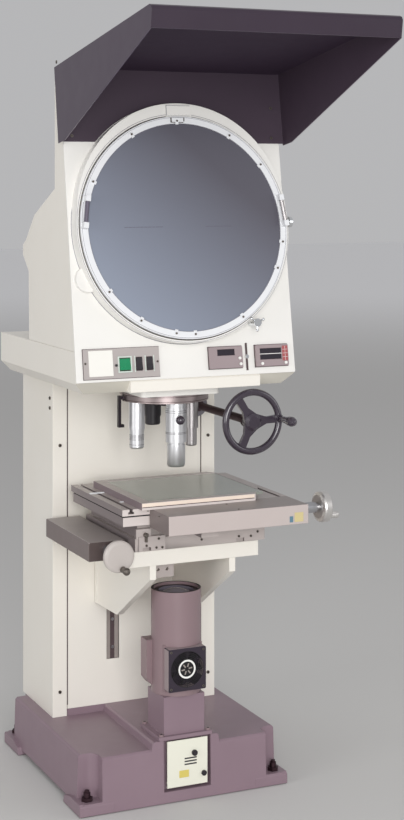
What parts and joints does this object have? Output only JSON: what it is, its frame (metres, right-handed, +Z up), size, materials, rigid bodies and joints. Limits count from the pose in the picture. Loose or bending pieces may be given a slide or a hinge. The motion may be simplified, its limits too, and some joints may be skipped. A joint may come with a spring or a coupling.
{
  "type": "optical comparator",
  "caption": "Floor-standing optical comparator: cast base, column with knee, saddle and table, lamp house below, lens turret, leaning projection screen with rotating ring and a dark hood.",
  "frame": {"origin": "On the floor, at the centre of the base's footprint, which is also the centre of the four levelling feet.", "axes": "+Z is up, the screen and the table face -Y, and +X is to the operator's right."},
  "size_m": [0.65, 1.0707, 1.8452],
  "materials": {
    "cream_paint": "satin cream paint",
    "mauve_paint": "semi-gloss grey-mauve paint",
    "mauve_cast": "painted casting, grey-mauve",
    "stage_paint": "ground and painted casting, light grey-mauve",
    "cover_paint": "satin light grey-mauve paint",
    "dark_cover": "satin warm grey paint",
    "hood_paint": "matt dark purple-brown paint",
    "dark_steel": "blackened steel",
    "bright_steel": "ground steel",
    "grey_iron": "grey casting",
    "chrome": "polished chrome",
    "wheel_black": "glossy black moulding",
    "black_plastic": "matt black moulding",
    "white_plastic": "white moulding",
    "white_paint": "white paint",
    "green_plastic": "green translucent moulding",
    "panel_grey": "satin grey-mauve paint",
    "aluminium": "machined aluminium",
    "screen_glass": "ground projection glass, grey-blue",
    "clear_glass": "clear glass",
    "mirror": "front-silvered mirror"
  },
  "bodies": {
    "stand": {"base_casting": "mauve_cast", "levelling_feet": "dark_steel", "terminal_panel": "white_paint", "column_sides": "cream_paint", "column_front_panel": "cream_paint", "column_rear_cover": "cream_paint", "column_backbone": "grey_iron", "guide_rails": "bright_steel", "drive_bearings": "grey_iron", "lamp_housing": "mauve_paint", "lamp_pedestal": "mauve_cast", "condenser_lens": "clear_glass", "lamp_bulb": "white_plastic", "fan_frame": "black_plastic", "head_lower_box": "cream_paint", "head_shell": "cream_paint", "head_front_panel": "cream_paint", "mirrors": "mirror", "turret_mount": "cream_paint", "ring_housing": "cream_paint", "hood": "hood_paint", "control_panel": "panel_grey", "angle_readout": "panel_grey", "position_readout": "panel_grey"},
    "leadscrew": {"z_leadscrew": "bright_steel"},
    "cross_drive": {"cross_shaft": "bright_steel"},
    "lift_wheel": {"handwheel_shaft": "dark_steel", "handwheel": "wheel_black"},
    "wheel_grip": {"handwheel_grip": "wheel_black"},
    "fan": {"fan_rotor": "black_plastic"},
    "knee": {"knee_carriage": "grey_iron", "knee_brackets": "cream_paint", "knee_top_plate": "cream_paint", "y_cover": "dark_cover"},
    "y_crank": {"y_screw": "bright_steel", "y_handle": "aluminium"},
    "y_grip": {"y_handle_grip": "black_plastic"},
    "saddle": {"saddle": "stage_paint"},
    "table": {"table_slide": "stage_paint", "table_top": "stage_paint", "stage_glass": "clear_glass", "x_cover": "cover_paint"},
    "x_crank": {"x_screw": "bright_steel", "x_handle": "aluminium"},
    "x_grip": {"x_handle_grip": "aluminium"},
    "turret": {"turret": "bright_steel", "front_lens": "chrome", "side_lenses": "chrome"},
    "screen": {"screen_ring": "white_paint", "screen_glass": "screen_glass", "ring_fittings": "chrome"},
    "clamp_knob": {"ring_clamp_knob": "chrome"},
    "feed_knob": {"fine_feed_knob": "bright_steel"},
    "power_switch": {"power_rocker": "green_plastic"},
    "lamp_switch": {"lamp_rocker": "black_plastic"},
    "light_switch": {"light_rocker": "black_plastic"},
    "angle_key_a": {"angle_button_upper": "white_plastic"},
    "angle_key_b": {"angle_button_lower": "white_plastic"},
    "position_key_a": {"position_button_left": "white_plastic"},
    "position_key_b": {"position_button_right": "white_plastic"}
  },
  "joints": [
    {"name": "knee_lift", "type": "slide", "parent": "stand", "child": "knee", "axis": [0, 0, 1], "range_m": [-0.075, 0.04]},
    {"name": "leadscrew_turn", "type": "hinge", "parent": "stand", "child": "leadscrew", "pos_m": [0, 0.15, 0.5], "axis": [0, 0, 1], "range_deg": [-1445, 2705]},
    {"name": "cross_turn", "type": "hinge", "parent": "stand", "child": "cross_drive", "pos_m": [0.08, 0.15, 0.898], "axis": [1, 0, 0], "range_deg": [-1445, 2705]},
    {"name": "wheel_turn", "type": "hinge", "parent": "stand", "child": "lift_wheel", "pos_m": [0.169, -0.1, 0.898], "axis": [0, -1, 0], "range_deg": [-1445, 2705]},
    {"name": "wheel_grip_spin", "type": "hinge", "parent": "lift_wheel", "child": "wheel_grip", "pos_m": [0.24033, -0.3, 0.90299], "axis": [0, -1, 0], "continuous": true},
    {"name": "saddle_slide", "type": "slide", "parent": "knee", "child": "saddle", "axis": [0, 1, 0], "range_m": [-0.065, 0.03]},
    {"name": "y_crank_turn", "type": "hinge", "parent": "knee", "child": "y_crank", "pos_m": [-0.202, -0.2, 0.618], "axis": [0, 1, 0], "range_deg": [-2165, 4685]},
    {"name": "y_grip_spin", "type": "hinge", "parent": "y_crank", "child": "y_grip", "pos_m": [-0.19714, -0.37, 0.59042], "axis": [0, -1, 0], "continuous": true},
    {"name": "table_slide", "type": "slide", "parent": "saddle", "child": "table", "axis": [1, 0, 0], "range_m": [-0.1, 0.1]},
    {"name": "x_crank_turn", "type": "hinge", "parent": "table", "child": "x_crank", "pos_m": [0.1, -0.407, 0.701], "axis": [1, 0, 0], "range_deg": [-7205, 7205]},
    {"name": "x_grip_spin", "type": "hinge", "parent": "x_crank", "child": "x_grip", "pos_m": [0.33, -0.40053, 0.67685], "axis": [1, 0, 0], "continuous": true},
    {"name": "turret_turn", "type": "hinge", "parent": "stand", "child": "turret", "pos_m": [0, -0.151, 0.955], "axis": [0, 0, 1], "continuous": true},
    {"name": "screen_turn", "type": "hinge", "parent": "stand", "child": "screen", "pos_m": [0, -0.27246, 1.37064], "axis": [0, -0.9875, 0.1575], "continuous": true},
    {"name": "clamp_turn", "type": "hinge", "parent": "stand", "child": "clamp_knob", "pos_m": [0.28, -0.26678, 1.38087], "axis": [1, 0, 0], "range_deg": [0, 180]},
    {"name": "feed_turn", "type": "hinge", "parent": "stand", "child": "feed_knob", "pos_m": [0.171, -0.29374, 1.13556], "axis": [0, -0.9875, 0.1575], "continuous": true},
    {"name": "fan_spin", "type": "hinge", "parent": "stand", "child": "fan", "pos_m": [0, -0.292, 0.316], "axis": [0, -1, 0], "continuous": true},
    {"name": "power_rock", "type": "hinge", "parent": "stand", "child": "power_switch", "pos_m": [-0.164, -0.29694, 1.05202], "axis": [1, 0, 0], "range_deg": [0, 12]},
    {"name": "lamp_rock", "type": "hinge", "parent": "stand", "child": "lamp_switch", "pos_m": [-0.1275, -0.29694, 1.05202], "axis": [1, 0, 0], "range_deg": [0, 12]},
    {"name": "light_rock", "type": "hinge", "parent": "stand", "child": "light_switch", "pos_m": [-0.101, -0.29694, 1.05202], "axis": [1, 0, 0], "range_deg": [0, 12]},
    {"name": "angle_press_a", "type": "slide", "parent": "stand", "child": "angle_key_a", "axis": [0, 0.9875, -0.1575], "range_m": [0, 0.0011], "stiffness_N_per_m": 800},
    {"name": "angle_press_b", "type": "slide", "parent": "stand", "child": "angle_key_b", "axis": [0, 0.9875, -0.1575], "range_m": [0, 0.0011], "stiffness_N_per_m": 800},
    {"name": "position_press_a", "type": "slide", "parent": "stand", "child": "position_key_a", "axis": [0, 0.9875, -0.1575], "range_m": [0, 0.0011], "stiffness_N_per_m": 800},
    {"name": "position_press_b", "type": "slide", "parent": "stand", "child": "position_key_b", "axis": [0, 0.9875, -0.1575], "range_m": [0, 0.0011], "stiffness_N_per_m": 800}
  ],
  "couplings": [
    {"joint": "leadscrew_turn", "follows": "knee_lift", "rad_per_m": -628.32},
    {"joint": "cross_turn", "follows": "knee_lift", "rad_per_m": -628.32},
    {"joint": "wheel_turn", "follows": "knee_lift", "rad_per_m": -628.32},
    {"joint": "y_crank_turn", "follows": "saddle_slide", "rad_per_m": -1256.6},
    {"joint": "x_crank_turn", "follows": "table_slide", "rad_per_m": 1256.6}
  ]
}
